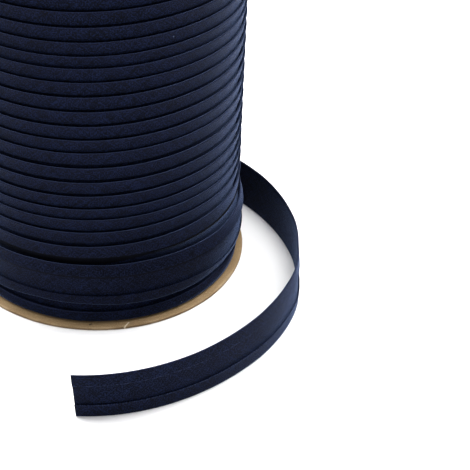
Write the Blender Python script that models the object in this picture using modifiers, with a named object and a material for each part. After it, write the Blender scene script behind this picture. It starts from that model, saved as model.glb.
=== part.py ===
"""Reel of folded bias tape: a card reel, the tape wound on it, and its loose end.

Metres, +Z up. The reel stands on its lower flange at z = 0. Angles are counter-clockwise
seen from above, with 270 degrees at the front. The tape runs clockwise and downward, so
each newer turn lies lower and covers all but the top strip of the turn before it. It
leaves the winding at the rear, comes down to the table and stands there on its edge.
"""

import math

import bmesh
import bpy
from mathutils import Vector

# Reel
FLANGE_RADIUS = 0.057
FLANGE_THICKNESS = 0.0012
FLANGE_EDGE_ROUND = 0.0002
REEL_HEIGHT = 0.160
TUBE_OUTER_RADIUS = 0.020
TUBE_BORE_RADIUS = 0.017
FLANGE_STEPS = 72
TUBE_STEPS = 48

# Gap left between pieces that touch
GAP = 0.0003

# Tape: folded width, and the folded-in flap along each edge
TAPE_WIDTH = 0.020
FLAP_WIDTH = 0.0054
PLY_THICKNESS = 0.0010
FLAP_THICKNESS = 0.0006
FLAP_GAP = 0.0003
FOLD_DEPTH = 0.0005
FOLD_ROUND = 0.0003

# Winding
LEAVE_ANGLE = 90.0
FRONT_ANGLE = 270.0
ANGLE_STEPS = 60
LIP_RADIUS = 0.0552
GROOVE_DEPTH = 0.0009
GROOVE_HEIGHT = 0.00035
FIRST_LIP_HEIGHT = 0.0314
# Rise from one top edge to the next above it, at the front, from the lowest turn up
TURN_RISES = (0.0071, 0.0063, 0.0054, 0.0047, 0.0054, 0.0058, 0.0060, 0.0061, 0.0052,
              0.0054, 0.0058, 0.0055, 0.0056, 0.0053, 0.0044, 0.0051, 0.0052, 0.0056)
USUAL_RISE = 0.0054
# The last full turn shows its whole width: its flaps stand proud of its middle, it slopes
# inward towards its lower edge, and it sinks where the loose end lies over it
FLAP_STEP = 0.0005
BAND_TAPER = 0.0004
OVERLAID_INSET = 0.0013
UNDER_LAYER_INSET = 0.0017
FOOT_INSET = 0.0018
STEP_RISE = 0.0002

# The lowest turns swell outward on the right-hand side
SWELL = 0.0022
SWELL_HEIGHT = 0.017
SWELL_SPREAD = 0.010
SWELL_ANGLE = 0.0
SWELL_POWER = 1.5

# Loose end: its lower edge leaves the winding heading right and bends toward the front.
# Columns: distance along it, bend radius there, inward lean of the upper edge there
LOOSE_BENDS = (
    (0.000, 0.074, 0.0000),
    (0.045, 0.082, 0.0002),
    (0.075, 0.088, 0.0006),
    (0.105, 0.075, 0.0016),
    (0.135, 0.062, 0.0025),
    (0.165, 0.091, 0.0022),
    (0.200, 0.087, 0.0010),
    (0.245, 0.062, 0.0000),
)
LOOSE_START_RADIUS = 0.0548
LOOSE_START_HEIGHT = 0.00785
LOOSE_TOUCHDOWN = 0.065
LOOSE_STEPS = 60

# Colours: linear red, green, blue, alpha
CARD_COLOUR = (0.33, 0.23, 0.12, 1.0)
TUBE_COLOUR = (0.42, 0.33, 0.21, 1.0)
TAPE_COLOUR = (0.012, 0.016, 0.045, 1.0)
CARD_ROUGHNESS = 0.85
TAPE_ROUGHNESS = 0.9


def clear_scene():
    """Removes every object of the open scene."""
    for item in list(bpy.data.objects):
        bpy.data.objects.remove(item, do_unlink=True)


def make_material(name, colour, roughness):
    """Returns a Principled material."""
    material = bpy.data.materials.new(name)
    material.use_nodes = True
    shader = material.node_tree.nodes["Principled BSDF"]
    shader.inputs["Base Color"].default_value = colour
    shader.inputs["Roughness"].default_value = roughness
    shader.inputs["Metallic"].default_value = 0.0
    return material


def make_collection(name):
    """Returns a new collection in the scene."""
    collection = bpy.data.collections.new(name)
    bpy.context.scene.collection.children.link(collection)
    return collection


def add_object(name, bm, collection, parent, material=None):
    """Turns a bmesh into an object under the given parent."""
    mesh = bpy.data.meshes.new(name)
    bm.to_mesh(mesh)
    bm.free()
    item = bpy.data.objects.new(name, mesh)
    collection.objects.link(item)
    item.parent = parent
    if material is not None:
        mesh.materials.append(material)
    return item


def smooth_step(value):
    """Eases from 0 to 1 as value goes from 0 to 1."""
    value = min(max(value, 0.0), 1.0)
    return value * value * (3.0 - 2.0 * value)


def turned_ring(name, inner, outer, low, high, edge, steps, collection, parent, material):
    """Turns a ring with softened edges from its half section."""
    bm = bmesh.new()
    section = (
        (outer - edge, high), (outer, high - edge), (outer, low + edge), (outer - edge, low),
        (inner + edge, low), (inner, low + edge), (inner, high - edge), (inner + edge, high),
    )
    points = [bm.verts.new((radius, 0.0, height)) for radius, height in section]
    for first, second in zip(points, points[1:] + points[:1]):
        bm.edges.new((first, second))
    item = add_object(name, bm, collection, parent, material)
    screw = item.modifiers.new("turn", "SCREW")
    screw.axis = "Z"
    screw.angle = math.tau
    screw.steps = steps
    screw.render_steps = steps
    screw.use_merge_vertices = True
    screw.merge_threshold = 0.00001
    return item


def lip_height(turn):
    """Height of the winding's top edges; 0 is the lowest turn at the front."""
    if turn <= 0.0:
        return FIRST_LIP_HEIGHT + turn * TURN_RISES[0]
    height = FIRST_LIP_HEIGHT
    for rise in TURN_RISES:
        if turn <= 1.0:
            return height + turn * rise
        height += rise
        turn -= 1.0
    return height + turn * USUAL_RISE


def swell(angle, height):
    """Outward swell of the lowest turns, most on the right-hand side."""
    side = math.cos(math.radians(angle - SWELL_ANGLE))
    if side <= 0.0:
        return 0.0
    drop = (height - SWELL_HEIGHT) / SWELL_SPREAD
    return SWELL * side ** SWELL_POWER * math.exp(-drop * drop)


def winding_section(angle, turns):
    """Outer section of the winding at one angle, bottom to top, as (radius, height)."""
    past_front = (angle - FRONT_ANGLE) / 360.0
    overlaid = OVERLAID_INSET * smooth_step((angle - FRONT_ANGLE) / 180.0)
    top = lip_height(past_front)
    low = top - TAPE_WIDTH
    flap_low = low + FLAP_WIDTH
    flap_top = top - FLAP_WIDTH
    flap = LIP_RADIUS - BAND_TAPER - overlaid
    middle = flap - FLAP_STEP
    section = [
        (LIP_RADIUS - FOOT_INSET - overlaid / 2, FLANGE_THICKNESS + GAP),
        (LIP_RADIUS - UNDER_LAYER_INSET - overlaid / 2, low - STEP_RISE),
        (flap - BAND_TAPER, low),
        (flap, flap_low),
        (middle, flap_low + STEP_RISE),
        (middle, flap_top - STEP_RISE),
        (flap, flap_top),
        (LIP_RADIUS, top),
    ]
    for turn in range(1, turns + 1):
        groove = lip_height(past_front + turn - 1) + GROOVE_HEIGHT
        section.append((LIP_RADIUS - GROOVE_DEPTH, groove))
        section.append((LIP_RADIUS, lip_height(past_front + turn)))
    return [(radius + swell(angle, height), height) for radius, height in section]


def winding_blank(turns):
    """The wound form without its bore: a helical skin, closed where the tape leaves it."""
    bm = bmesh.new()
    columns = []
    for step in range(ANGLE_STEPS + 1):
        angle = LEAVE_ANGLE + 360.0 * step / ANGLE_STEPS
        across = Vector((math.cos(math.radians(angle)), math.sin(math.radians(angle)), 0.0))
        section = winding_section(angle, turns)
        columns.append([bm.verts.new(across * radius + Vector((0.0, 0.0, height)))
                        for radius, height in section])
    for left, right in zip(columns, columns[1:]):
        for row in range(len(left) - 1):
            bm.faces.new((left[row], right[row], right[row + 1], left[row + 1]))
    # The skin's two ends meet from the second top edge up, where it has climbed one turn.
    # Below that, one flat face fills the step at the place where the tape leaves.
    start, end = columns[0], columns[-1]
    lip = len(winding_section(LEAVE_ANGLE, 0)) - 1
    rows_per_turn = 2
    bm.faces.new(start[:lip + rows_per_turn + 1] + end[lip - 1::-1])
    bm.faces.new([column[0] for column in columns])
    targets = {end[row]: start[row + rows_per_turn]
               for row in range(lip, len(end) - rows_per_turn)}
    bmesh.ops.weld_verts(bm, targetmap=targets)
    top = REEL_HEIGHT - FLANGE_THICKNESS - GAP
    cut = bmesh.ops.bisect_plane(bm, geom=bm.verts[:] + bm.edges[:] + bm.faces[:],
                                 plane_co=(0.0, 0.0, top), plane_no=(0.0, 0.0, 1.0),
                                 clear_outer=True)
    rim = [item for item in cut["geom_cut"] if isinstance(item, bmesh.types.BMEdge)]
    bmesh.ops.contextual_create(bm, geom=rim)
    bmesh.ops.recalc_face_normals(bm, faces=bm.faces[:])
    return bm


def bore_cutter(collection, parent):
    """Plain cylinder that leaves room for the tube inside the winding."""
    bm = bmesh.new()
    bmesh.ops.create_cone(bm, cap_ends=True, segments=TUBE_STEPS, depth=2.0 * REEL_HEIGHT,
                          radius1=TUBE_OUTER_RADIUS + GAP, radius2=TUBE_OUTER_RADIUS + GAP)
    cutter = add_object("cutter_winding_bore", bm, collection, parent)
    cutter.hide_render = True
    cutter.display_type = "WIRE"
    return cutter


def make_winding(collection, cutters, parent, material):
    """Builds the wound tape as one ring."""
    # Two turns more than fit, so that the skin passes the upper flange all round
    turns = math.ceil((REEL_HEIGHT - FIRST_LIP_HEIGHT) / USUAL_RISE) + 2
    item = add_object("winding", winding_blank(turns), collection, parent, material)
    cut = item.modifiers.new("bore", "BOOLEAN")
    cut.operation = "DIFFERENCE"
    cut.solver = "EXACT"
    cut.object = bore_cutter(cutters, parent)
    return item


def between_bends(distance, column):
    """Value of one column of the bend table at a distance along the loose end."""
    for near, far in zip(LOOSE_BENDS, LOOSE_BENDS[1:]):
        if distance <= far[0]:
            part = (distance - near[0]) / (far[0] - near[0])
            return near[column] + (far[column] - near[column]) * part
    return LOOSE_BENDS[-1][column]


def loose_stations():
    """Foot, heading and lean at each station along the loose end."""
    length = LOOSE_BENDS[-1][0]
    stride = (length - GAP) / LOOSE_STEPS
    place = Vector((GAP, LOOSE_START_RADIUS, 0.0))
    turned = 0.0
    stations = []
    for step in range(LOOSE_STEPS + 1):
        distance = GAP + stride * step
        heading = Vector((math.cos(turned), -math.sin(turned), 0.0))
        drop = LOOSE_START_HEIGHT * (1.0 - smooth_step(distance / LOOSE_TOUCHDOWN))
        foot = place + Vector((0.0, 0.0, drop))
        stations.append((foot, heading, between_bends(distance, 2)))
        bend = stride / between_bends(distance + stride / 2, 1)
        midway = turned + bend / 2
        place = place + stride * Vector((math.cos(midway), -math.sin(midway), 0.0))
        turned += bend
    return stations


def tape_section():
    """Section of the folded tape, as (outward, upward) from the foot of its main ply."""
    inner = -PLY_THICKNESS / 2
    face = PLY_THICKNESS / 2
    slit = face + FLAP_GAP
    outer = slit + FLAP_THICKNESS
    return (
        (inner + FOLD_ROUND, 0.0), (outer - FOLD_ROUND, 0.0), (outer, FOLD_ROUND),
        (outer, FLAP_WIDTH), (slit, FLAP_WIDTH), (slit, FOLD_DEPTH), (face, FOLD_DEPTH),
        (face, TAPE_WIDTH - FOLD_DEPTH), (slit, TAPE_WIDTH - FOLD_DEPTH),
        (slit, TAPE_WIDTH - FLAP_WIDTH), (outer, TAPE_WIDTH - FLAP_WIDTH),
        (outer, TAPE_WIDTH - FOLD_ROUND), (outer - FOLD_ROUND, TAPE_WIDTH),
        (inner + FOLD_ROUND, TAPE_WIDTH), (inner, TAPE_WIDTH - FOLD_ROUND), (inner, FOLD_ROUND),
    )


def make_loose_end(collection, parent, material):
    """Lofts the folded section along the loose end's route."""
    bm = bmesh.new()
    section = tape_section()
    rings = []
    upward = Vector((0.0, 0.0, 1.0))
    for foot, heading, lean in loose_stations():
        outward = upward.cross(heading)
        ring = []
        for out, up in section:
            share = up / TAPE_WIDTH
            point = foot + outward * (out - lean * share * share) + upward * up
            ring.append(bm.verts.new(point))
        rings.append(ring)
    count = len(section)
    for near, far in zip(rings, rings[1:]):
        for index in range(count):
            after = (index + 1) % count
            bm.faces.new((near[index], near[after], far[after], far[index]))
    bm.faces.new(rings[0])
    bm.faces.new(rings[-1])
    bmesh.ops.recalc_face_normals(bm, faces=bm.faces[:])
    return add_object("loose_end", bm, collection, parent, material)


def stand_on_origin(root, items):
    """Moves the root so that the middle of the part's base box is the origin."""
    bpy.context.view_layer.update()
    depsgraph = bpy.context.evaluated_depsgraph_get()
    corners = []
    for item in items:
        solid = item.evaluated_get(depsgraph)
        mesh = solid.to_mesh()
        corners += [solid.matrix_world @ vertex.co for vertex in mesh.vertices]
        solid.to_mesh_clear()
    for axis in range(2):
        values = [corner[axis] for corner in corners]
        root.location[axis] = -(min(values) + max(values)) / 2


def main():
    """Builds the whole part."""
    clear_scene()
    parts = make_collection("bias_tape_reel")
    cutters = make_collection("cutters")
    root = bpy.data.objects.new("reel_axis", None)
    parts.objects.link(root)

    lower_card = make_material("lower_card", CARD_COLOUR, CARD_ROUGHNESS)
    upper_card = make_material("upper_card", CARD_COLOUR, CARD_ROUGHNESS)
    tube_card = make_material("tube_card", TUBE_COLOUR, CARD_ROUGHNESS)
    wound = make_material("wound_tape", TAPE_COLOUR, TAPE_ROUGHNESS)
    loose = make_material("loose_tape", TAPE_COLOUR, TAPE_ROUGHNESS)

    top = REEL_HEIGHT - FLANGE_THICKNESS
    lower = turned_ring("flange_lower", TUBE_BORE_RADIUS, FLANGE_RADIUS, 0.0, FLANGE_THICKNESS,
                        FLANGE_EDGE_ROUND, FLANGE_STEPS, parts, root, lower_card)
    upper = turned_ring("flange_upper", TUBE_BORE_RADIUS, FLANGE_RADIUS, top, REEL_HEIGHT,
                        FLANGE_EDGE_ROUND, FLANGE_STEPS, parts, root, upper_card)
    tube = turned_ring("reel_tube", TUBE_BORE_RADIUS, TUBE_OUTER_RADIUS, FLANGE_THICKNESS + GAP,
                       top - GAP, FLANGE_EDGE_ROUND, TUBE_STEPS, parts, root, tube_card)
    winding = make_winding(parts, cutters, root, wound)
    loose_end = make_loose_end(parts, root, loose)
    for item in (lower, upper, tube):
        item.data.shade_smooth()
    stand_on_origin(root, (lower, upper, tube, winding, loose_end))


main()
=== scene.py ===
"""Looks of the reel of folded bias tape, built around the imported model.

Metres, +Z up. The reel's axis is the middle of the lower flange. Angles are counter-clockwise
seen from above, with 270 degrees at the front. A turn number says where a piece of wound
tape is: 0 is the newest turn at the front, and older turns lie above it. The tape is one
long folded strip: it is wound from the upper flange downward, leaves the reel at the rear
and stands on its edge on the table.
"""

import logging
import math
from dataclasses import dataclass, field
from enum import Enum
from typing import Sequence

import bmesh
import bpy
from mathutils import Matrix, Vector, noise


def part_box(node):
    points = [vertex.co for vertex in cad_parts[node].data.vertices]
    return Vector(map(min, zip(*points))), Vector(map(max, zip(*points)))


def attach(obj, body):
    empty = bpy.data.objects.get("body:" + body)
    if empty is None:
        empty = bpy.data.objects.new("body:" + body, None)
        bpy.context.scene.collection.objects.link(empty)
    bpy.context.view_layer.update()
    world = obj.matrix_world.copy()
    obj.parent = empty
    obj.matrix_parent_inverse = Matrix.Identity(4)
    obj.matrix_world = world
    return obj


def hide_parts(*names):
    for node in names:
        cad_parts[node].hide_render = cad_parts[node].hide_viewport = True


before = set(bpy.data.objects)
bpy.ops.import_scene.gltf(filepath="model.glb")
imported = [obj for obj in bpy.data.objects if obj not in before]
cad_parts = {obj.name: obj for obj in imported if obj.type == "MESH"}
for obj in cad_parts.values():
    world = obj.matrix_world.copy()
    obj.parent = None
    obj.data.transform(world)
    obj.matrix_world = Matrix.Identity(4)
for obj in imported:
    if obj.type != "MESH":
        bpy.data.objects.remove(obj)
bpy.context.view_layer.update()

logging.basicConfig(level=logging.INFO, format="%(name)s: %(message)s")
log = logging.getLogger("tape_reel")

Colour = tuple[float, float, float, float]
Row = tuple[float, ...]

FRONT_ANGLE = 270.0
BODY = "root"


class Slot(Enum):
    """Material slots of the record."""

    FLANGE = "flange_card"
    TUBE = "tube_card"
    TAPE = "tape"


def smooth_step(value: float) -> float:
    """Eases from 0 to 1 as value goes from 0 to 1."""
    value = min(max(value, 0.0), 1.0)
    return value * value * (3.0 - 2.0 * value)


def window(value: float, start: float, rise: float, end: float, fall: float) -> float:
    """Eases from 0 to 1 over rise from start on, and back to 0 over fall from end on."""
    return smooth_step((value - start) / rise) * (1.0 - smooth_step((value - end) / fall))


def polar(radius: float, angle: float, height: float = 0.0) -> Vector:
    """Returns the place at a radius, an angle in degrees and a height."""
    turned = math.radians(angle)
    return Vector((radius * math.cos(turned), radius * math.sin(turned), height))


def read_table(table: Sequence[Row], key: float, column: int = 1) -> float:
    """Reads a table between its rows.

    Args:
        table: rows whose first column rises.
        key: place in the first column.
        column: the column that is read.

    Returns:
        The value there, held at the table's ends.
    """
    if key <= table[0][0]:
        return table[0][column]
    for near, far in zip(table, table[1:]):
        if key <= far[0]:
            part = (key - near[0]) / (far[0] - near[0])
            return near[column] + (far[column] - near[column]) * part
    return table[-1][column]


def reel_axis() -> Vector:
    """Returns the reel's axis at table level."""
    low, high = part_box("flange_lower")
    return Vector(((low[0] + high[0]) / 2, (low[1] + high[1]) / 2, 0.0))


def place_object(name: str, data: bpy.types.ID) -> bpy.types.Object:
    """Puts a new object that holds data into the scene and returns it."""
    item = bpy.data.objects.new(name, data)
    bpy.context.scene.collection.objects.link(item)
    return item


def place_mesh(name: str, bm: bmesh.types.BMesh,
               material: bpy.types.Material) -> bpy.types.Object:
    """Turns a bmesh, which is freed, into an object of one material."""
    mesh = bpy.data.meshes.new(name)
    bm.to_mesh(mesh)
    bm.free()
    mesh.materials.append(material)
    return place_object(name, mesh)


def add_piece(name: str, bm: bmesh.types.BMesh, material: bpy.types.Material, slot: Slot,
              *nodes: str) -> bpy.types.Object:
    """Turns a bmesh into a piece that rides on the body and stands for CAD nodes.

    Args:
        name: the piece's name.
        bm: its mesh, which is freed.
        material: its finish.
        slot: the record's slot; not used.
        nodes: the CAD nodes that it replaces.

    Returns:
        The new object.
    """
    piece = place_mesh(name, bm, material)
    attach(piece, BODY)
    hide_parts(*nodes)
    log.info("%s: %d faces", name, len(piece.data.polygons))
    return piece


def soften(bm: bmesh.types.BMesh, sharp_angle: float = 50.0) -> None:
    """Shades a mesh smooth and keeps its sharper edges crisp.

    Args:
        bm: the mesh.
        sharp_angle: bend in degrees past which an edge stays crisp.
    """
    limit = math.radians(sharp_angle)
    for face in bm.faces:
        face.smooth = True
    for edge in bm.edges:
        edge.smooth = edge.calc_face_angle(0.0) < limit


def draw_rim(bm: bmesh.types.BMesh, places: Sequence[Sequence[float]]) -> tuple[
        list[bmesh.types.BMVert], list[bmesh.types.BMEdge]]:
    """Adds a closed rim of edges through places and returns its corners and edges."""
    points = [bm.verts.new(place) for place in places]
    return points, [bm.edges.new(pair) for pair in zip(points, points[1:] + points[:1])]


def spin_ring(bm: bmesh.types.BMesh, section: Sequence[tuple[float, float]], steps: int) -> None:
    """Spins a closed half section, given as (radius, height), into a ring round +Z.

    Args:
        bm: the mesh that the ring is added to.
        section: corners of the section in order.
        steps: columns round the ring.
    """
    points, rim = draw_rim(bm, [(radius, 0.0, height) for radius, height in section])
    bmesh.ops.spin(bm, geom=points + rim, cent=(0.0, 0.0, 0.0), axis=(0.0, 0.0, 1.0),
                   dvec=(0.0, 0.0, 0.0), angle=math.tau, steps=steps, use_merge=True,
                   use_duplicate=False)
    bmesh.ops.recalc_face_normals(bm, faces=bm.faces[:])


class Graph:
    """Small helper that adds nodes to a node tree and links them."""

    def __init__(self, tree: bpy.types.NodeTree) -> None:
        """Keeps the tree that nodes are added to."""
        self.tree = tree

    def feed(self, node: bpy.types.Node, sockets: dict) -> bpy.types.Node:
        """Sets a node's inputs, or links the sockets that feed them, and returns the node."""
        for key, value in sockets.items():
            if isinstance(value, bpy.types.NodeSocket):
                self.tree.links.new(value, node.inputs[key])
            else:
                node.inputs[key].default_value = value
        return node

    def node(self, kind: str, sockets: dict | None = None, **settings) -> bpy.types.Node:
        """Adds a node.

        Args:
            kind: the node's type.
            sockets: input name or number to a value or to the socket that feeds it.
            settings: properties of the node.

        Returns:
            The new node.
        """
        node = self.tree.nodes.new(kind)
        for key, value in settings.items():
            setattr(node, key, value)
        return self.feed(node, sockets or {})

    def math(self, operation: str, *values) -> bpy.types.NodeSocket:
        """Adds a Math node and returns its output."""
        return self.node("ShaderNodeMath", dict(enumerate(values)),
                         operation=operation).outputs[0]

    def product(self, first, *others) -> bpy.types.NodeSocket:
        """Multiplies values and returns the result."""
        for other in others:
            first = self.math("MULTIPLY", first, other)
        return first

    def parts(self, vector) -> list[bpy.types.NodeSocket]:
        """Returns the X, Y and Z of a vector."""
        return list(self.node("ShaderNodeSeparateXYZ", {0: vector}).outputs)

    def turned(self, vector, angle) -> bpy.types.NodeSocket:
        """Returns a vector turned round Z by an angle in radians."""
        return self.node("ShaderNodeVectorRotate", {"Vector": vector, "Angle": angle},
                         rotation_type="Z_AXIS").outputs[0]

    def ramp(self, value, low: float, high: float) -> bpy.types.NodeSocket:
        """Returns value eased from 0 at low to 1 at high."""
        node = self.node("ShaderNodeMapRange", {"Value": value, "From Min": low,
                                                "From Max": high},
                         interpolation_type="SMOOTHSTEP")
        return node.outputs["Result"]

    def mix(self, factor, first, second) -> bpy.types.NodeSocket:
        """Mixes two colours and returns the result."""
        node = self.node("ShaderNodeMix", {0: factor, 6: first, 7: second}, data_type="RGBA")
        return node.outputs[2]

    def noise(self, vector, scale: float, detail: float = 2.0) -> bpy.types.NodeSocket:
        """Returns a noise value at a place."""
        node = self.node("ShaderNodeTexNoise", {"Vector": vector, "Scale": scale,
                                                "Detail": detail})
        return node.outputs[0]

    def group(self, tree: bpy.types.NodeTree, sockets: dict) -> bpy.types.Node:
        """Places a node group with its own values."""
        return self.node("ShaderNodeGroup", sockets, node_tree=tree)


def new_group(name: str, inputs: dict[str, tuple[str, float | None]],
              outputs: Sequence[str]) -> tuple[Graph, bpy.types.Node, bpy.types.Node]:
    """Starts a shader node group.

    Args:
        name: the group's name.
        inputs: input name to socket kind (Vector or Float) and default value.
        outputs: names of the outputs, all of them values.

    Returns:
        The group's graph, its input node and its output node.
    """
    tree = bpy.data.node_groups.new(name, "ShaderNodeTree")
    for label, (kind, default) in inputs.items():
        socket = tree.interface.new_socket(name=label, in_out="INPUT",
                                           socket_type="NodeSocket" + kind)
        if default is not None:
            socket.default_value = default
    for label in outputs:
        tree.interface.new_socket(name=label, in_out="OUTPUT", socket_type="NodeSocketFloat")
    graph = Graph(tree)
    return graph, graph.node("NodeGroupInput"), graph.node("NodeGroupOutput")


def weave_group() -> bpy.types.NodeTree:
    """Returns the plain weave group: thread height and uneven shade of the threads."""
    graph, given, result = new_group(
        "bias_weave", {"Vector": ("Vector", None), "Pitch": ("Float", 0.00034),
                       "Bias": ("Float", 0.785)}, ("Height", "Shade"))
    turned = graph.turned(given.outputs["Vector"], given.outputs["Bias"])
    count = graph.math("DIVIDE", 1.0, given.outputs["Pitch"])
    scaled = graph.node("ShaderNodeVectorMath", {0: turned, "Scale": count},
                        operation="SCALE").outputs[0]
    waves = [graph.math("SINE", graph.product(part, math.pi))
             for part in graph.parts(scaled)[:2]]
    over = graph.math("MULTIPLY_ADD", graph.product(*waves), 0.5, 0.5)
    threads = [graph.product(graph.math("ABSOLUTE", wave), share)
               for wave, share in zip(waves, (over, graph.math("SUBTRACT", 1.0, over)))]
    shades = []
    for stretch in ((0.05, 0.6, 1.0), (0.6, 0.05, 1.0)):
        place = graph.node("ShaderNodeVectorMath", {0: scaled, 1: stretch},
                           operation="MULTIPLY").outputs[0]
        shades.append(graph.noise(place, 1.0, 1.0))
    graph.feed(result, {"Height": graph.math("MAXIMUM", *threads),
                        "Shade": graph.product(graph.math("ADD", *shades), 0.5)})
    return graph.tree


def fibre_group() -> bpy.types.NodeTree:
    """Returns the pulp group: long fibres, fine specks and wide blotches of card."""
    graph, given, result = new_group("card_fibres", {"Vector": ("Vector", None)},
                                     ("Fibres", "Specks", "Blotches"))
    base = given.outputs["Vector"]
    runs = []
    for turn, stretch in ((0.3, (90.0, 1600.0, 1600.0)), (1.7, (110.0, 1500.0, 1500.0))):
        place = graph.node("ShaderNodeMapping", {"Vector": base, "Rotation": (0.0, 0.0, turn),
                                                 "Scale": stretch}).outputs[0]
        runs.append(graph.noise(place, 1.0, 3.0))
    graph.feed(result, {"Fibres": graph.math("MAXIMUM", *runs),
                        "Specks": graph.noise(base, 2600.0, 2.0),
                        "Blotches": graph.noise(base, 70.0, 3.0)})
    return graph.tree


@dataclass
class SharedEffects:
    """Node groups that more than one finish uses, built once."""

    weave: bpy.types.NodeTree = field(default_factory=weave_group)
    fibres: bpy.types.NodeTree = field(default_factory=fibre_group)


def new_material(name: str) -> tuple[bpy.types.Material, Graph, bpy.types.Node]:
    """Returns a new material, its graph and its Principled shader."""
    material = bpy.data.materials.new(name)
    material.use_nodes = True
    graph = Graph(material.node_tree)
    return material, graph, material.node_tree.nodes["Principled BSDF"]


@dataclass(frozen=True)
class ClothFinish:
    """Navy plain-weave cotton cut on the bias, matt with a soft sheen."""

    deep: Colour = (0.0001, 0.0004, 0.0020, 1.0)
    lit: Colour = (0.0058, 0.0104, 0.0350, 1.0)
    lint: Colour = (0.14, 0.17, 0.25, 1.0)
    # Colour of rubbed raw edges, and also of the fold crests, which are partly worn and partly a
    # painted highlight
    worn: Colour = (0.022, 0.030, 0.068, 1.0)
    thread_pitch: float = 0.00040
    # Gain and offset that the threads' height gives the tone
    thread_tone: tuple[float, float] = (0.30, -0.16)
    mottle_scale: float = 2100.0
    # Share of the threads' own shade beside the mottle, and the shades of deep and lit cloth
    weave_share: float = 0.35
    shade_range: tuple[float, float] = (0.45, 0.60)
    lint_scale: float = 130.0
    lint_size: float = 0.024
    lint_share: float = 0.60
    lint_strength: float = 0.7
    # Places across the cut cloth, in metres
    fold_places: tuple[float, float] = (0.0052, 0.0252)
    raw_places: tuple[float, float] = (0.0, 0.0304)
    wear_width: float = 0.00045
    # Lightening along the fold crests: partly wear, partly a painted highlight
    fold_wear_and_highlight: float = 0.40
    fuzz_scale: float = 1500.0
    fuzz_range: tuple[float, float] = (0.44, 0.60)
    # Where along the loose end the raw edges are fuzzier, and gain and offset of that
    handled_range: tuple[float, float] = (0.08, 0.20)
    handled_wear: tuple[float, float] = (0.8, 0.15)
    # Share of the painted contact shade's reach, from the flap's edge on, that is wholly dark
    full_shade: float = 0.85
    weave_depth: float = 0.00012
    weave_strength: float = 0.55
    mottle_relief: float = 0.6
    # Gain and offset that the shade gives the roughness
    roughness: tuple[float, float] = (0.25, 0.68)
    specular: float = 0.06
    sheen: float = 0.38
    sheen_roughness: float = 0.22
    sheen_tint: Colour = (0.36, 0.52, 1.0, 1.0)

    def near(self, graph: Graph, across: bpy.types.NodeSocket,
             places: Sequence[float]) -> bpy.types.NodeSocket:
        """Returns a mask that is 1 at given places across the cut cloth.

        Args:
            graph: the material's graph.
            across: place across the cut cloth.
            places: where the mask is 1.
        """
        masks = [graph.ramp(graph.math("ABSOLUTE", graph.math("SUBTRACT", across, place)),
                            self.wear_width, 0.0) for place in places]
        return graph.math("MAXIMUM", *masks)

    def build(self, effects: SharedEffects) -> bpy.types.Material:
        """Returns the cloth's material.

        Args:
            effects: the shared node groups.
        """
        material, graph, shader = new_material("tape_cotton")
        along = graph.node("ShaderNodeUVMap", uv_map="cloth").outputs[0]
        height, uneven = graph.group(effects.weave, {
            "Vector": along, "Pitch": self.thread_pitch, "Bias": math.pi / 4}).outputs
        mottle = graph.noise(along, self.mottle_scale)
        shade = graph.math("ADD", graph.product(uneven, self.weave_share),
                           graph.product(mottle, 1.0 - self.weave_share))
        tone = graph.math("ADD", graph.ramp(shade, *self.shade_range),
                          graph.math("MULTIPLY_ADD", height, *self.thread_tone))
        colour = graph.mix(graph.node("ShaderNodeClamp", {0: tone}).outputs[0], self.deep,
                           self.lit)
        distance, across, _ = graph.parts(along)
        fuzz = graph.product(self.near(graph, across, self.raw_places),
                             graph.ramp(graph.noise(along, self.fuzz_scale), *self.fuzz_range))
        handled = graph.math("MULTIPLY_ADD", graph.ramp(distance, *self.handled_range),
                             *self.handled_wear)
        # Lighter along the fold crests: partly wear, partly a painted highlight of the crests
        crest_wear_and_highlight = graph.product(self.near(graph, across, self.fold_places), self.fold_wear_and_highlight)
        colour = graph.mix(graph.math("MAXIMUM", crest_wear_and_highlight, graph.product(fuzz, handled)), colour,
                           self.worn)
        specks = graph.node("ShaderNodeTexVoronoi", {"Vector": along,
                                                     "Scale": self.lint_scale})
        rare = graph.node("ShaderNodeSeparateColor", {0: specks.outputs["Color"]}).outputs[0]
        speck = graph.product(
            graph.math("LESS_THAN", specks.outputs["Distance"], self.lint_size),
            graph.math("GREATER_THAN", rare, self.lint_share), self.lint_strength)
        colour = graph.mix(speck, colour, self.lint)
        # Painted shade: below the upper flap's edge the base colour goes to the deep tone, as if
        # in the flap's shadow
        below, strength, _ = graph.parts(
            graph.node("ShaderNodeUVMap", uv_map="contact").outputs[0])
        painted_shade = graph.product(strength, graph.ramp(below, 1.0, self.full_shade))
        relief = graph.math("ADD", height, graph.product(mottle, self.mottle_relief))
        bump = graph.node("ShaderNodeBump", {
            "Height": relief, "Strength": self.weave_strength, "Distance": self.weave_depth})
        graph.feed(shader, {
            "Base Color": graph.mix(painted_shade, colour, self.deep),
            "Roughness": graph.math("MULTIPLY_ADD", shade, *self.roughness),
            "Normal": bump.outputs[0], "Specular IOR Level": self.specular,
            "Sheen Weight": self.sheen, "Sheen Roughness": self.sheen_roughness,
            "Sheen Tint": self.sheen_tint})
        return material


@dataclass(frozen=True)
class CardMark:
    """A streak of another colour on the card, from one place to another: worn scuffs, and painted
    shade in nicks.
    """

    angle: float
    radius: float
    turn: float
    length: float
    width: float
    colour: Colour


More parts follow.
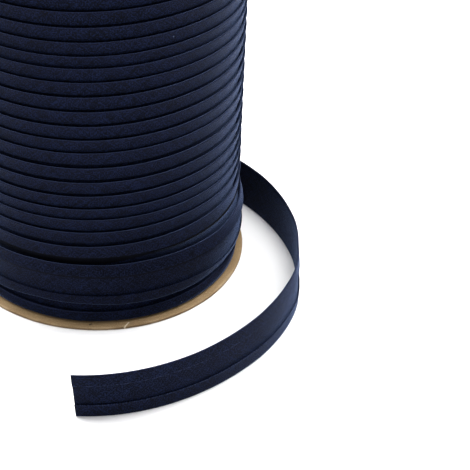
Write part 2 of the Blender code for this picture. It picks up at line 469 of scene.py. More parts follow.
@dataclass(frozen=True)
class CardFinish:
    """Matt brown kraft card with visible fibres and a cut edge of layers."""

    name: str
    dull: Colour = (0.175, 0.110, 0.052, 1.0)
    fresh: Colour = (0.320, 0.220, 0.112, 1.0)
    fibre: Colour = (0.42, 0.32, 0.20, 1.0)
    core: Colour = (0.085, 0.052, 0.027, 1.0)
    # Shares of the blotches and the specks in the tone, and the tones of dull and fresh card
    pulp_shares: tuple[float, float] = (0.3, 0.7)
    tone_range: tuple[float, float] = (0.30, 0.70)
    strand_range: tuple[float, float] = (0.60, 0.76)
    strand_strength: float = 0.45
    # Upward share of the normal at which the cut edge begins and is whole
    edge_range: tuple[float, float] = (0.75, 0.35)
    edge_strength: float = 0.8
    ply_height: float = 0.00030
    rim_radius: float = 0.0562
    rim_width: float = 0.0007
    rim_range: tuple[float, float] = (0.42, 0.62)
    rim_wear: float = 0.35
    mark_strength: float = 0.8
    relief_depth: float = 0.00012
    relief_strength: float = 0.5
    specular: float = 0.3
    marks: tuple[CardMark, ...] = ()

    def build(self, effects: SharedEffects, axis: Vector) -> bpy.types.Material:
        """Returns the card's material.

        Args:
            effects: the shared node groups.
            axis: the reel's axis, which the marks are placed from.
        """
        material, graph, shader = new_material(self.name)
        place = graph.node("ShaderNodeTexCoord").outputs["Object"]
        centred = graph.node("ShaderNodeMapping", {"Vector": place,
                                                   "Location": -axis}).outputs[0]
        fibres, specks, blotches = graph.group(effects.fibres, {"Vector": centred}).outputs
        tone = graph.math("ADD", graph.product(blotches, self.pulp_shares[0]),
                          graph.product(specks, self.pulp_shares[1]))
        colour = graph.mix(graph.ramp(tone, *self.tone_range), self.dull, self.fresh)
        strand = graph.ramp(fibres, *self.strand_range)
        colour = graph.mix(graph.product(strand, self.strand_strength), colour, self.fibre)
        right, back, height = graph.parts(centred)
        upward = graph.parts(graph.node("ShaderNodeNewGeometry").outputs["Normal"])[2]
        side = graph.ramp(graph.math("ABSOLUTE", upward), *self.edge_range)
        ply = graph.math("SINE", graph.product(height, math.tau / self.ply_height))
        cut = graph.mix(graph.math("MULTIPLY_ADD", ply, 0.25, 0.5), self.core, self.dull)
        colour = graph.mix(graph.product(side, self.edge_strength), colour, cut)
        flat = graph.node("ShaderNodeCombineXYZ", {0: right, 1: back}).outputs[0]
        radius = graph.node("ShaderNodeVectorMath", {0: flat}, operation="LENGTH")
        rim = graph.ramp(radius.outputs["Value"], self.rim_radius,
                         self.rim_radius + self.rim_width)
        worn = graph.product(rim, graph.ramp(blotches, *self.rim_range), self.rim_wear)
        colour = graph.mix(worn, colour, self.fibre)
        for mark in self.marks:
            at_mark = graph.node("ShaderNodeVectorMath", {
                0: flat, 1: polar(mark.radius, mark.angle)}, operation="SUBTRACT").outputs[0]
            run, aside, _ = graph.parts(graph.turned(at_mark, -math.radians(mark.turn)))
            ragged = graph.math("MULTIPLY_ADD", specks, mark.width * 1.2, mark.width * 0.2)
            inside = graph.product(
                graph.math("LESS_THAN", graph.math("ABSOLUTE", aside), ragged),
                graph.math("LESS_THAN", graph.math("ABSOLUTE", run), mark.length / 2),
                self.mark_strength)
            colour = graph.mix(inside, colour, mark.colour)
        relief = graph.math("ADD", graph.product(strand, 0.6), graph.product(specks, 0.8))
        bump = graph.node("ShaderNodeBump", {
            "Height": relief, "Strength": self.relief_strength, "Distance": self.relief_depth})
        graph.feed(shader, {
            "Base Color": colour, "Roughness": graph.math("MULTIPLY_ADD", specks, 0.2, 0.72),
            "Normal": bump.outputs[0], "Specular IOR Level": self.specular})
        return material


@dataclass
class CardFlange:
    """One die-cut disc of card, with a pressed rim and the hole for the spindle."""

    name: str
    node: str
    axis: Vector
    material: bpy.types.Material
    low: float
    high: float
    radius: float = 0.057
    hole: float = 0.017
    edge_round: float = 0.00022
    rim_press: float = 0.00010
    rim_width: float = 0.0011
    waviness: float = 0.00012
    ovality: float = 0.0005
    steps: int = 216

    def section(self) -> list[tuple[float, float]]:
        """Returns the disc's half section, its corners broken."""
        soft, press, low, high = self.edge_round, self.rim_press, self.low, self.high
        hole, radius, rim = self.hole, self.radius, self.rim_width
        return [
            (hole, low + soft), (hole + soft, low), (radius - soft * 1.4, low),
            (radius - soft * 0.4, low + soft * 0.4), (radius, low + soft * 1.4),
            (radius, high - press - soft * 1.2), (radius - soft * 0.4, high - press - soft * 0.4),
            (radius - soft * 1.4, high - press), (radius - rim, high - press * 0.2),
            (radius - rim * 2.0, high), (hole + 3.0 * soft, high),
            (hole + soft, high - press * 0.4), (hole, high - soft - press),
        ]

    def build(self) -> bpy.types.Object:
        """Makes the disc and returns it."""
        bm = bmesh.new()
        spin_ring(bm, self.section(), self.steps)
        for vertex in bm.verts:
            flat = Vector((vertex.co.x, vertex.co.y, 0.0))
            if flat.length > self.radius - self.rim_width:
                ripple = noise.noise(flat * 60.0 + Vector((0.0, 0.0, self.low * 40.0)))
                ripple += 0.5 * noise.noise(flat * 420.0)
                out_of_round = self.ovality * max(flat.normalized().x, 0.0)
                vertex.co += flat.normalized() * (self.waviness * ripple + out_of_round)
        soften(bm)
        bmesh.ops.translate(bm, verts=bm.verts[:], vec=self.axis)
        return add_piece(self.name, bm, self.material, Slot.FLANGE, self.node)


@dataclass
class ReelTube:
    """The spiral-wound card tube, with the overlap of its inner ply."""

    axis: Vector
    material: bpy.types.Material
    low: float
    high: float
    outer: float = 0.020
    bore: float = 0.017
    ply: float = 0.00022
    pitch: float = 0.052
    seam_gap: float = 0.0005
    steps: int = 96

    def wall(self, bm: bmesh.types.BMesh) -> None:
        """Adds the tube's wall."""
        soft = 0.0002
        spin_ring(bm, [
            (self.bore, self.low + soft), (self.bore + soft, self.low),
            (self.outer - soft, self.low), (self.outer, self.low + soft),
            (self.outer, self.high - soft), (self.outer - soft, self.high),
            (self.bore + soft, self.high), (self.bore, self.high - soft),
        ], self.steps)

    def inner_ply(self) -> bmesh.types.BMesh:
        """Returns the inner ply: a strip wound as a steep helix, trimmed at both ends."""
        strip = bmesh.new()
        tall = self.pitch - self.seam_gap
        start = self.low - self.pitch
        corners = ((self.bore - self.ply, start), (self.bore + self.ply, start),
                   (self.bore + self.ply, start + tall), (self.bore - self.ply, start + tall))
        points, rim = draw_rim(strip, [(radius, 0.0, height) for radius, height in corners])
        turns = math.ceil((self.high - start) / self.pitch)
        bmesh.ops.spin(strip, geom=points + rim, cent=(0.0, 0.0, 0.0), axis=(0.0, 0.0, 1.0),
                       dvec=(0.0, 0.0, self.pitch / self.steps), angle=math.tau * turns,
                       steps=self.steps * turns, use_merge=False, use_duplicate=False)
        bmesh.ops.holes_fill(strip, edges=strip.edges[:], sides=4)
        for height, side in ((self.low + 0.0003, -1.0), (self.high - 0.0003, 1.0)):
            everything = strip.verts[:] + strip.edges[:] + strip.faces[:]
            bmesh.ops.bisect_plane(strip, geom=everything, plane_co=(0.0, 0.0, height),
                                   plane_no=(0.0, 0.0, side), clear_outer=True)
            bmesh.ops.holes_fill(strip, edges=strip.edges[:], sides=0)
        bmesh.ops.recalc_face_normals(strip, faces=strip.faces[:])
        return strip

    def build(self) -> bpy.types.Object:
        """Makes the tube and returns it."""
        bm = self.inner_ply()
        self.wall(bm)
        soften(bm, 40.0)
        bmesh.ops.translate(bm, verts=bm.verts[:], vec=self.axis)
        return add_piece("card_tube", bm, self.material, Slot.TUBE, "reel_tube")


@dataclass
class WoundShape:
    """Heights and radii of the wound turns: the solids', with the small slips of the photo."""

    lip_radius: float = 0.0552
    tape_width: float = 0.020
    first_lip: float = 0.0314
    usual_rise: float = 0.0054
    rises: tuple[float, ...] = (
        0.0071, 0.0063, 0.0054, 0.0047, 0.0054, 0.0058, 0.0060, 0.0061, 0.0052,
        0.0054, 0.0058, 0.0055, 0.0056, 0.0053, 0.0044, 0.0051, 0.0052, 0.0056)
    # Degrees from the front toward the right, and how far the turns stand above the helix there
    drift: tuple[Row, ...] = (
        (-180.0, 0.0), (-90.0, 0.0), (-35.0, 0.0), (0.0, 0.0001), (15.0, 0.00025),
        (30.0, 0.00040), (45.0, 0.0004), (60.0, 0.00010), (90.0, 0.0001), (140.0, 0.0),
        (180.0, 0.0))
    # How far the visible top edges lie below the solids' helix, and how much more the last
    # turn has slipped down, by turn number
    edge_drop: float = 0.00075
    slip: tuple[Row, ...] = (
        (-0.50, 0.0), (-0.30, 0.0010), (-0.11, 0.0014), (-0.056, 0.0010), (0.0, 0.0012),
        (0.039, 0.0018), (0.064, 0.0020), (0.10, 0.0026), (0.136, 0.0033), (0.172, 0.0040),
        (0.25, 0.0040), (0.33, 0.0031), (0.50, 0.0014), (0.70, 0.0))
    # Height of the last turn's lower fold by turn number, where it shows
    fold_height: tuple[Row, ...] = (
        (-0.20, 0.0087), (-0.10, 0.0090), (-0.056, 0.0107), (0.0, 0.0107), (0.038, 0.0100),
        (0.071, 0.0098), (0.107, 0.0096), (0.129, 0.0096), (0.150, 0.0101), (0.185, 0.0107),
        (0.30, 0.0107))
    # Turn numbers of that stretch, as window takes them
    fold_span: Row = (-0.20, 0.08, 0.30, 0.15)
    swell_size: float = 0.0022
    swell_height: float = 0.017
    swell_spread: float = 0.010
    swell_power: float = 1.5

    def lip_height(self, turn: float) -> float:
        """Returns the height of the top edge at a turn number."""
        if turn <= 0.0:
            return self.first_lip + turn * self.rises[0]
        height = self.first_lip
        for rise in self.rises:
            if turn <= 1.0:
                return height + turn * rise
            height += rise
            turn -= 1.0
        return height + turn * self.usual_rise

    def from_front(self, angle: float) -> float:
        """Returns an angle as degrees from the front toward the right, -180 to 180."""
        return (angle - FRONT_ANGLE + 180.0) % 360.0 - 180.0

    def lift(self, angle: float) -> float:
        """Returns how far the turns stand above the helix at an angle."""
        return read_table(self.drift, self.from_front(angle))

    def visible_edge(self, turn: float) -> float:
        """Returns the height at which the top edge is seen at a turn number."""
        fade = smooth_step((turn + 0.5) / 0.3)
        angle = FRONT_ANGLE + 360.0 * turn
        shift = (self.lift(angle) - self.edge_drop) * fade - read_table(self.slip, turn)
        return self.lip_height(turn) + shift

    def fold_raise(self, turn: float) -> float:
        """Returns how much higher than the tape's width the lower fold of a turn stands."""
        whole = self.visible_edge(turn) - self.tape_width
        return (read_table(self.fold_height, turn) - whole) * window(turn, *self.fold_span)

    def swell(self, angle: float, height: float) -> float:
        """Returns the outward swell of the lowest turns on the right-hand side."""
        side = math.cos(math.radians(angle))
        if side <= 0.0:
            return 0.0
        drop = (height - self.swell_height) / self.swell_spread
        return self.swell_size * side ** self.swell_power * math.exp(-drop * drop)


@dataclass
class WoundCore:
    """The wound layers below the visible tape, which show as a strip above the flange."""

    axis: Vector
    material: bpy.types.Material
    shape: WoundShape
    low: float
    high: float
    bore: float = 0.0203
    inner_radius: float = 0.0508
    # The strip's radius as drawn, before it takes the radius of each place
    drawn_radius: float = 0.053
    fold: float = 0.00035
    flap_edge: float = 0.0064
    flap_thickness: float = 0.00035
    slit_width: float = 0.00045
    slit_depth: float = 0.0014
    steps: int = 180
    # Degrees from the front toward the right, and how much lower the flap's edge runs there
    edge_fall: tuple[Row, ...] = (
        (-180.0, 0.0), (20.0, 0.0), (40.0, -0.0003), (52.0, -0.0004), (70.0, 0.0),
        (130.0, 0.0004), (180.0, 0.0))
    # Degrees from the front toward the right, and the strip's radius there
    foot_radius: tuple[Row, ...] = (
        (-180.0, 0.0527), (-150.0, 0.0534), (-90.0, 0.0541), (-45.0, 0.0542), (-20.0, 0.0541),
        (0.0, 0.0544), (40.0, 0.0546), (100.0, 0.0546), (140.0, 0.0536), (180.0, 0.0527))

    def section(self) -> list[tuple[float, float]]:
        """Returns the ring's half section, with the strip at its drawn radius."""
        outer = self.drawn_radius
        soft = self.fold
        slit = outer - self.flap_thickness
        ply = slit - self.slit_width
        edge = self.flap_edge
        return [
            (self.bore, self.low), (outer - 6.0 * soft, self.low),
            (outer - 4.0 * soft, self.low + soft), (outer - 0.9 * soft, self.low + 1.3 * soft),
            (outer, self.low + 2.4 * soft), (outer, 0.0036),
            (outer - 0.0001, edge - 0.0001), (outer - 0.0002, edge),
            (slit - 0.0002, edge), (slit - 0.0002, edge - self.slit_depth),
            (ply - 0.0002, edge - self.slit_depth), (ply - 0.0002, edge),
            (ply - 0.0004, 0.0090), (ply - 0.0006, 0.0120),
            (self.inner_radius, 0.0165), (self.inner_radius, 0.060),
            (self.inner_radius, self.high), (self.bore, self.high),
        ]

    def build(self) -> bpy.types.Object:
        """Makes the ring and returns it."""
        bm = bmesh.new()
        spin_ring(bm, self.section(), self.steps)
        cloth = bm.loops.layers.uv.new("cloth")
        for vertex in bm.verts:
            flat = Vector((vertex.co.x, vertex.co.y, 0.0))
            if flat.length < self.inner_radius + 0.0005:
                continue
            angle = math.degrees(math.atan2(flat.y, flat.x))
            foot = read_table(self.foot_radius, self.shape.from_front(angle))
            share = (flat.length - self.inner_radius) / (self.drawn_radius - self.inner_radius)
            wave = 0.0001 * noise.noise(flat * 40.0 + Vector((0.0, 0.0, vertex.co.z * 90.0)))
            target = self.inner_radius + (foot - self.inner_radius) * share
            target += self.shape.swell(angle, vertex.co.z) + wave
            if self.flap_edge - 0.002 < vertex.co.z < self.flap_edge + 0.0001:
                vertex.co.z -= read_table(self.edge_fall, self.shape.from_front(angle))
            vertex.co += flat.normalized() * (target - flat.length)
        for face in bm.faces:
            middle = face.calc_center_median()
            about = math.atan2(middle.y, middle.x)
            for loop in face.loops:
                point = loop.vert.co
                angle = math.atan2(point.y, point.x)
                angle += math.tau * round((about - angle) / math.tau)
                inward = self.drawn_radius - math.hypot(point.x, point.y)
                loop[cloth].uv = (angle * self.drawn_radius, point.z + inward)
        soften(bm)
        bmesh.ops.translate(bm, verts=bm.verts[:], vec=self.axis)
        return add_piece("wound_core", bm, self.material, Slot.TAPE, "winding")


@dataclass
class FoldedTape:
    """The visible tape: one folded strip, wound down the reel and loose at its end."""

    axis: Vector
    material: bpy.types.Material
    shape: WoundShape
    top: float
    ply: float = 0.00032
    fold_gap: float = 0.00005
    low_flap: float = 0.0052
    high_flap: float = 0.0052
    # How much further the lower flap reaches on the loose end, and the upper one on the
    # turn over the last one, toward the right
    loose_reach: float = 0.0007
    shown_reach: float = 0.0010
    # Height on the tape, and the share of the main ply's shoulder there; and how far the
    # shoulder stands out by turn number, where the slipped last turn pushes the ply outward
    shoulder: tuple[Row, ...] = (
        (0.0100, 0.0), (0.0134, 0.55), (0.0143, 1.0), (0.01475, 0.0))
    shoulder_rise: tuple[Row, ...] = (
        (1.045, 0.0), (1.075, 0.0006), (1.10, 0.0009), (1.20, 0.0009), (1.32, 0.0))
    # Heights between which the main ply's corners follow the upper flap's further reach
    following_band: tuple[float, float] = (0.0130, 0.0170)
    # Turn numbers, as window takes them, of the recess, the belly, the flap that stands off
    # at the front and the flap's further reach
    recess_span: Row = (0.8, 0.15, 1.03, 0.09)
    belly_span: Row = (-0.45, 0.2, 0.30, 0.2)
    opening_span: Row = (0.82, 0.12, 1.03, 0.09)
    reach_span: Row = (1.02, 0.10, 1.32, 0.16)
    cut_width: float = 0.031
    stations_per_turn: int = 90
    loose_stride: float = 0.002
    # How far the lower flap's cut edge stands off, on the last turn and loose, and the upper's
    low_opening: float = 0.00036
    high_opening: float = 0.00020
    # How much the last turn leans inward per metre of its width, and the room that each
    # older turn leaves for the one over it
    last_slope: float = 0.040
    room: float = 0.00092
    # How much more the turn over the last one leans at the front, where its main ply shows
    last_recess: float = 0.030
    # How far that turn's upper flap stands off at the front
    shown_opening: float = 0.00045
    # How far below the upper flap's edge the main ply's colour is darkened as painted shade,
    # past what the flap stands off, and how strongly, by turn number
    contact_reach: tuple[Row, ...] = (
        (0.60, 0.0008), (0.90, 0.0032), (1.03, 0.0032), (1.08, 0.0003))
    contact_shade: tuple[Row, ...] = (
        (-0.55, 0.0), (-0.35, 0.8), (-0.12, 1.0), (-0.02, 0.9), (0.06, 0.75), (0.12, 0.9),
        (0.16, 1.0), (0.45, 0.8), (0.90, 1.0), (1.40, 1.0), (1.60, 0.6))
    # Depth below the last turn's upper edge, and how far it bulges outward there
    last_belly: tuple[Row, ...] = (
        (0.0, 0.0), (0.0050, 0.00045), (0.0062, 0.00030), (0.0100, 0.00000),
        (0.0140, -0.00010), (0.0170, 0.00020), (0.0200, 0.00040))
    lip_flare: float = 0.00042
    flare_width: float = 0.0022
    # Degrees from the front toward the right, and the share of the lip's curl there
    flare_share: tuple[Row, ...] = (
        (-180.0, 1.0), (20.0, 1.0), (50.0, 0.6), (110.0, 0.6), (150.0, 1.0), (180.0, 1.0))
    height_waver: float = 0.00016
    radius_waver: float = 0.00012
    # Distance along the loose end, bend radius there, inward lean of the upper edge there
    loose_bends: tuple[Row, ...] = (
        (0.000, 0.074, 0.0000), (0.045, 0.082, 0.0002), (0.075, 0.088, 0.0006),
        (0.105, 0.075, 0.0016), (0.135, 0.062, 0.0025), (0.165, 0.091, 0.0022),
        (0.200, 0.087, 0.0010), (0.245, 0.062, 0.0000))
    lean_trim: tuple[Row, ...] = (
        (0.015, 0.0), (0.045, 0.0009), (0.075, 0.0012), (0.100, 0.0010), (0.130, 0.0015),
        (0.150, 0.0009), (0.200, 0.0009), (0.245, 0.0007))
    # Distance along the loose end, and how far it stands outside the route of the bends
    route_trim: tuple[Row, ...] = (
        (0.108, 0.0), (0.123, -0.0007), (0.130, -0.0003), (0.136, 0.0003), (0.141, 0.0005),
        (0.165, 0.0005), (0.170, 0.00045), (0.178, 0.0002), (0.183, 0.0001), (0.192, 0.0))
    loose_start_radius: float = 0.0548
    loose_start_height: float = 0.00785
    touchdown: float = 0.065
    hand_over: float = 0.050
    walk_stride: float = 0.0005
    # How far the cut runs out past the foot at the upper edge, and over what length
    cut_slant: float = 0.0010
    cut_reach: float = 0.020

    def __post_init__(self) -> None:
        """Works out the lengths and walks the loose end once."""
        self.face = self.ply * 1.5 + self.fold_gap
        self.turn_length = math.tau * (self.shape.lip_radius - self.face)
        self.loose_length = self.loose_bends[-1][0]
        turn = 18.0
        while self.shape.lip_height(turn) < self.top + self.shape.usual_rise:
            turn += 0.02
        self.wound_length = (turn + 0.5) * self.turn_length
        self.walk = self.walk_loose_end()

    def walk_loose_end(self) -> list[tuple[Vector, float]]:
        """Returns the loose end's foot on plan and how far it has turned, stride by stride."""
        place = Vector((0.0, self.loose_start_radius, 0.0))
        turned = 0.0
        walk = []
        for step in range(round((self.loose_length + 2.0 * self.cut_slant)
                                / self.walk_stride) + 2):
            walk.append((place.copy(), turned))
            bend = self.walk_stride / read_table(self.loose_bends,
                                                 (step + 0.5) * self.walk_stride)
            midway = turned + bend / 2
            place += self.walk_stride * Vector((math.cos(midway), -math.sin(midway), 0.0))
            turned += bend
        return walk

    def section(self) -> list[tuple[float, float, float, float, float]]:
        """Returns the folded section.

        Returns:
            Its points in order, as (outward from the main ply's middle, upward, place across
            the cut cloth, share of the lower flap's opening, share of the upper flap's).
        """
        half = self.ply / 2
        width = self.shape.tape_width
        flap = self.low_flap
        face = self.face
        slit = face - self.ply
        outer = []
        inner = []
        for up in (flap, flap * 0.62, flap * 0.30, 0.00075):
            share = (up / flap) ** 0.8
            outer.append((face, up, flap - up, share, 0.0))
            inner.append((slit, up, flap - up, share, 0.0))
        inner[-1] = (slit, 0.0005, flap - 0.0005, 0.0, 0.0)
        outer += [(face - 0.00008, 0.00022, flap - 0.0002, 0.0, 0.0),
                  (face * 0.45, 0.0, flap, 0.0, 0.0),
                  (-half + 0.00008, 0.00022, flap + 0.0002, 0.0, 0.0)]
        for up in (0.0008, 0.0042, 0.0078, 0.0114, 0.0150, 0.0178, width - 0.0008):
            outer.append((-half, up, flap + up, 0.0, 0.0))
        outer += [(-half + 0.00010, width - 0.00022, flap + width - 0.0002, 0.0, 0.0),
                  (face * 0.45, width, flap + width, 0.0, 0.0),
                  (face - 0.00008, width - 0.00022, flap + width + 0.0002, 0.0, 0.0)]
        for up in (0.0005, 0.0038, 0.0064, 0.0100, 0.0134, 0.0143, 0.01475, 0.0162,
                   width - 0.0005):
            inner.append((half, up, flap + up, 0.0, 0.0))
        rest = []
        upper = self.high_flap
        for down in (0.00075, upper * 0.30, upper * 0.62, upper):
            share = (down / upper) ** 1.6
            outer.append((face, width - down, flap + width + down, 0.0, share))
            rest.append((slit, width - down, flap + width + down, 0.0, share))
        rest[0] = (slit, width - 0.0005, flap + width + 0.0005, 0.0, 0.0)
        inner += rest
        return outer + inner[::-1]

    def slope(self, turn: float) -> float:
        """Returns the inward lean of the tape at a turn number."""
        if turn <= 0.5:
            return self.last_slope
        newer = turn - 1.0
        rise = self.shape.visible_edge(turn) - self.shape.visible_edge(newer)
        usual = 0.5 * smooth_step((turn - 1.3) / 0.7)
        shingled = self.room / (rise + (self.shape.usual_rise - rise) * usual)
        shingled += self.last_recess * window(turn, *self.recess_span)
        return self.last_slope + (shingled - self.last_slope) * smooth_step((turn - 0.5) / 0.4)

    def belly(self, turn: float, depth: float) -> float:
        """Returns how far the last turn bulges outward at a depth below its upper edge."""
        return read_table(self.last_belly, depth) * window(turn, *self.belly_span)

    def flare(self, up: float) -> float:
        """Returns how far the free upper edge curls outward at a height on the tape."""
        part = max(0.0, up - self.shape.tape_width + self.flare_width) / self.flare_width
        return self.lip_flare * part * part

    def openings(self, turn: float) -> tuple[float, float]:
        """Returns how far both flaps stand off at a turn number."""
        free = 1.0 - smooth_step((turn - 0.25) / 0.22)
        vary = 1.0 + 0.5 * noise.noise(Vector((turn * 9.0, 0.0, 3.0)))
        shown = self.shown_opening * window(turn, *self.opening_span)
        return self.low_opening * free * vary, self.high_opening * free * vary + shown

    def flap_reaches(self, turn: float) -> tuple[float, float]:
        """Returns how much further than usual both flaps reach at a turn number."""
        return (self.loose_reach * smooth_step((-0.25 - turn) / 0.25),
                self.shown_reach * window(turn, *self.reach_span))

    def contact(self, distance: float, up: float) -> tuple[float, float]:
        """Returns the painted shade that stands for the upper flap's edge shading the main ply
        below it.

        Args:
            distance: distance along the tape from where it leaves the reel.
            up: distance up from the lower edge.

        Returns:
            How far below the flap's edge the point lies, as a share of the shade's reach, and
            the shade's strength.
        """
        turn = -0.5 - distance / self.turn_length
        edge = self.shape.tape_width - self.high_flap - self.flap_reaches(turn)[1]
        reach = (self.ply + self.fold_gap + self.openings(turn)[1]
                 + read_table(self.contact_reach, turn))
        return (edge - up) / reach, read_table(self.contact_shade, turn)

    def wound_place(self, distance: float, out: float, up: float) -> Vector:
        """Places a point of the wound tape.

        Args:
            distance: distance along the tape from where it leaves the reel, below 0.
            out: distance outward from the main ply's middle.
            up: distance up from the lower edge.

        Returns:
            The place, from the reel's axis.
        """
        turn = -0.5 - distance / self.turn_length
        angle = FRONT_ANGLE + 360.0 * turn
        fade = smooth_step((turn + 0.5) / 0.3)
        waver = noise.noise(Vector((turn * 5.3, 1.7, 0.0)))
        lip = self.shape.visible_edge(turn) + self.height_waver * waver * fade
        hidden = max(0.0, lip - self.top)
        depth = self.shape.tape_width - up
        low_share = 1.0 - min(up / self.low_flap, 1.0)
        height = lip - hidden - depth + self.shape.fold_raise(turn) * low_share
        wander = self.radius_waver * fade * noise.noise(Vector((turn * 4.1, 0.0, 9.0)))
        curl = self.flare(up) * read_table(self.flare_share, self.shape.from_front(angle))
        radius = (self.shape.lip_radius - self.face + out + wander + curl
                  + self.belly(turn, depth) - self.slope(turn) * (depth + hidden)
                  + self.shape.swell(angle, height))
        return polar(radius, angle, height)

    def loose_place(self, distance: float, out: float, up: float) -> Vector:
        """Places a point of the loose end.

        Args:
            distance: distance along the tape from where it leaves the reel.
            out: distance outward from the main ply's middle.
            up: distance up from the lower edge.

        Returns:
            The place, from the reel's axis.
        """
        share = up / self.shape.tape_width
        near_cut = (distance - self.loose_length + self.cut_reach) / self.cut_reach
        distance += self.cut_slant * share * smooth_step(near_cut)
        steps = distance / self.walk_stride
        index = min(int(steps), len(self.walk) - 2)
        part = steps - index
        foot = self.walk[index][0].lerp(self.walk[index + 1][0], part)
        turned = self.walk[index][1] * (1.0 - part) + self.walk[index + 1][1] * part
        outward = Vector((math.sin(turned), math.cos(turned), 0.0))
        lean = (read_table(self.loose_bends, distance, 2)
                - read_table(self.lean_trim, distance)) * share * share
        wound = 1.0 - smooth_step(distance / self.hand_over)
        depth = self.shape.tape_width - up
        offset = (self.shape.lip_radius - self.face - self.loose_start_radius
                  - self.last_slope * depth + self.flare(up)) * wound
        drop = self.loose_start_height * (1.0 - smooth_step(distance / self.touchdown))
        aside = out + offset - lean + read_table(self.route_trim, distance)
        return foot + outward * aside + Vector((0.0, 0.0, up + drop))

    def straight_strip(self) -> bmesh.types.BMesh:
        """Returns the folded strip laid out straight along +X, with its stations cut in."""
        bm = bmesh.new()
        keep = bm.verts.layers.float
        layers = [keep.new(name) for name in ("across", "low_share", "high_share")]
        main_ply = keep.new("main_ply")
        section = self.section()
        points, rim = draw_rim(bm, [(-self.wound_length, out, up) for out, up, *_ in section])
        for vertex, (out, _, *values) in zip(points, section):
            for layer, value in zip(layers, values):
                vertex[layer] = value
            vertex[main_ply] = float(out == self.ply / 2)
        bm.faces.new(points)
        for advance in (self.wound_length, self.loose_length):
            made = bmesh.ops.extrude_edge_only(bm, edges=rim)["geom"]
            fresh = [item for item in made if isinstance(item, bmesh.types.BMVert)]
            bmesh.ops.translate(bm, verts=fresh, vec=(advance, 0.0, 0.0))
            newest = set(fresh)
            rim = [item for item in made if isinstance(item, bmesh.types.BMEdge)
                   and item.verts[0] in newest and item.verts[1] in newest]
        bmesh.ops.contextual_create(bm, geom=rim)
        for near, far, stations in (
                (-self.wound_length, 0.0,
                 round(self.wound_length / self.turn_length * self.stations_per_turn)),
                (0.0, self.loose_length, round(self.loose_length / self.loose_stride))):
            long_edges = [edge for edge in bm.edges
                          if {round(vertex.co.x, 6) for vertex in edge.verts}
                          == {round(near, 6), round(far, 6)}]
            bmesh.ops.subdivide_edges(bm, edges=long_edges, cuts=stations - 1,
                                      use_grid_fill=True)
        return bm

    def build(self) -> bpy.types.Object:
        """Makes the tape and returns it."""
        bm = self.straight_strip()
        keep = bm.verts.layers.float
        across, low_share, high_share, main_ply = (
            keep[name] for name in ("across", "low_share", "high_share", "main_ply"))
        cloth = bm.loops.layers.uv.new("cloth")
        contact = bm.loops.layers.uv.new("contact")
        band_low, band_high = self.following_band
        for face in bm.faces:
            # Faces of the bare main ply carry the painted shade below the upper flap's edge in
            # the contact map
            bare = all(vertex[main_ply] > 0.5 for vertex in face.verts)
            for loop in face.loops:
                loop[cloth].uv = (loop.vert.co.x, loop.vert[across])
                loop[contact].uv = (self.contact(loop.vert.co.x, loop.vert.co.z) if bare
                                    else (1.0, 0.0))
        for vertex in bm.verts:
            distance, out, up = vertex.co
            turn = -0.5 - distance / self.turn_length
            low, high = self.openings(turn)
            out += low * vertex[low_share] + high * vertex[high_share]
            low_reach, high_reach = self.flap_reaches(turn)
            if vertex[main_ply] > 0.5:
                out += read_table(self.shoulder, up) * read_table(self.shoulder_rise, turn)
                up -= high_reach * float(band_low < up < band_high)
            up += low_reach * vertex[low_share]
            up -= high_reach * vertex[high_share]
            place = self.wound_place if distance < 0.0 else self.loose_place
            vertex.co = place(distance, out, up) + self.axis
        bmesh.ops.recalc_face_normals(bm, faces=bm.faces[:])
        soften(bm)
        piece = add_piece("folded_tape", bm, self.material, Slot.TAPE, "loose_end")
        return piece


@dataclass(frozen=True)
class SoftLight:
    """One large soft lamp."""

    name: str
    place: tuple[float, float, float]
    size: float
    power: float


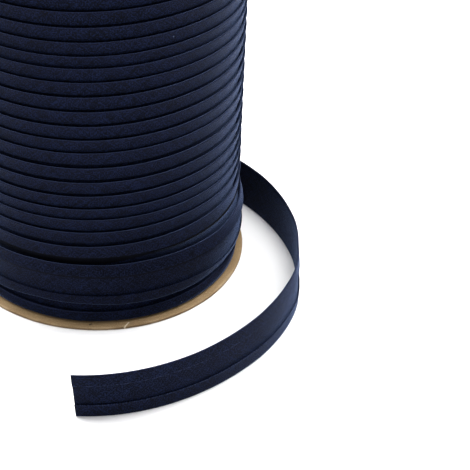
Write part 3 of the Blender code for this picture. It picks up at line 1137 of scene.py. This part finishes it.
@dataclass
class Studio:
    """Plain pale floor, soft white light all round, and the camera of the photo's view."""

    axis: Vector
    floor_size: float = 6.0
    floor_colour: Colour = (0.88, 0.88, 0.89, 1.0)
    world_strength: float = 0.80
    lamps: tuple[SoftLight, ...] = (
        SoftLight("lamp_top", (0.05, 0.32, 1.25), 1.0, 26.0),
        SoftLight("lamp_back_left", (-0.90, 0.40, 0.75), 0.8, 17.0),
        SoftLight("lamp_back_right", (0.90, 0.50, 0.80), 0.8, 21.0),
    )
    camera_place: tuple[float, float, float] = (0.0544, -0.4179, 0.3158)
    camera_pitch: float = 0.63917
    camera_roll: float = -0.044864
    lens: float = 97.74

    def build(self) -> None:
        """Makes the floor, the light and the camera."""
        self.lay_floor()
        self.light()
        self.set_camera()
        bpy.context.scene.view_settings.view_transform = "Standard"

    def lay_floor(self) -> None:
        """Lays the floor just under the object."""
        bm = bmesh.new()
        bmesh.ops.create_grid(bm, x_segments=1, y_segments=1, size=self.floor_size / 2)
        bmesh.ops.translate(bm, verts=bm.verts[:], vec=(0.0, 0.0, -0.00005))
        material, graph, shader = new_material("floor_paper")
        grain = graph.noise(graph.node("ShaderNodeTexCoord").outputs["Object"], 40.0)
        dim = tuple(value * 0.985 for value in self.floor_colour[:3]) + (1.0,)
        graph.feed(shader, {"Base Color": graph.mix(grain, self.floor_colour, dim),
                            "Roughness": 0.9, "Specular IOR Level": 0.1})
        floor = place_mesh("floor", bm, material)

    def light(self) -> None:
        """Hangs the lamps and whitens the surroundings."""
        world = bpy.data.worlds.new("white_room")
        world.use_nodes = True
        backdrop = world.node_tree.nodes["Background"]
        backdrop.inputs["Color"].default_value = (1.0, 1.0, 1.0, 1.0)
        backdrop.inputs["Strength"].default_value = self.world_strength
        bpy.context.scene.world = world
        for lamp in self.lamps:
            data = bpy.data.lights.new(lamp.name, "AREA")
            data.shape = "SQUARE"
            data.size = lamp.size
            data.energy = lamp.power
            item = place_object(lamp.name, data)
            item.location = Vector(lamp.place) + self.axis
            aim = self.axis + Vector((0.0, 0.0, 0.06)) - item.location
            item.rotation_euler = aim.to_track_quat("-Z", "Y").to_euler()

    def set_camera(self) -> None:
        """Stands the camera where the photo was taken from."""
        pitch, roll = self.camera_pitch, self.camera_roll
        forward = Vector((0.0, math.cos(pitch), -math.sin(pitch)))
        right = Vector((1.0, 0.0, 0.0))
        down = Vector((0.0, -math.sin(pitch), -math.cos(pitch)))
        across = math.cos(roll) * right + math.sin(roll) * down
        below = -math.sin(roll) * right + math.cos(roll) * down
        data = bpy.data.cameras.new("camera")
        data.lens = self.lens
        data.sensor_width = 36.0
        data.clip_start = 0.01
        camera = place_object("camera", data)
        turn = Matrix((across, -below, -forward)).transposed().to_4x4()
        camera.matrix_world = Matrix.Translation(Vector(self.camera_place) + self.axis) @ turn
        bpy.context.scene.camera = camera


def main() -> None:
    """Builds every piece in order."""
    axis = reel_axis()
    effects = SharedEffects()
    cloth = ClothFinish().build(effects)
    marks = (
        # A pale worn scuff across the card's edge
        CardMark(angle=285.3, radius=0.0566, turn=62.0, length=0.0042, width=0.00030,
                 colour=(0.62, 0.54, 0.41, 1.0)),
        # Painted shade: a near-black mark for a small nick in the card at the winding's foot
        CardMark(angle=271.8, radius=0.0549, turn=35.0, length=0.0013, width=0.00040,
                 colour=(0.02, 0.016, 0.012, 1.0)),
    )
    lower_card = CardFinish("kraft_card_lower", marks=marks).build(effects, axis)
    upper_card = CardFinish("kraft_card_upper").build(effects, axis)
    tube_card = CardFinish("tube_card", rim_radius=0.5).build(effects, axis)

    low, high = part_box("flange_lower")
    CardFlange("card_flange_lower", "flange_lower", axis, lower_card, low[2], high[2]).build()
    low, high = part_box("flange_upper")
    CardFlange("card_flange_upper", "flange_upper", axis, upper_card, low[2], high[2]).build()
    low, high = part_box("reel_tube")
    ReelTube(axis, tube_card, low[2], high[2]).build()
    low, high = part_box("winding")
    shape = WoundShape()
    WoundCore(axis, cloth, shape, low[2], high[2]).build()
    FoldedTape(axis, cloth, shape, high[2]).build()
    Studio(axis).build()


if __name__ == "__main__":
    main()
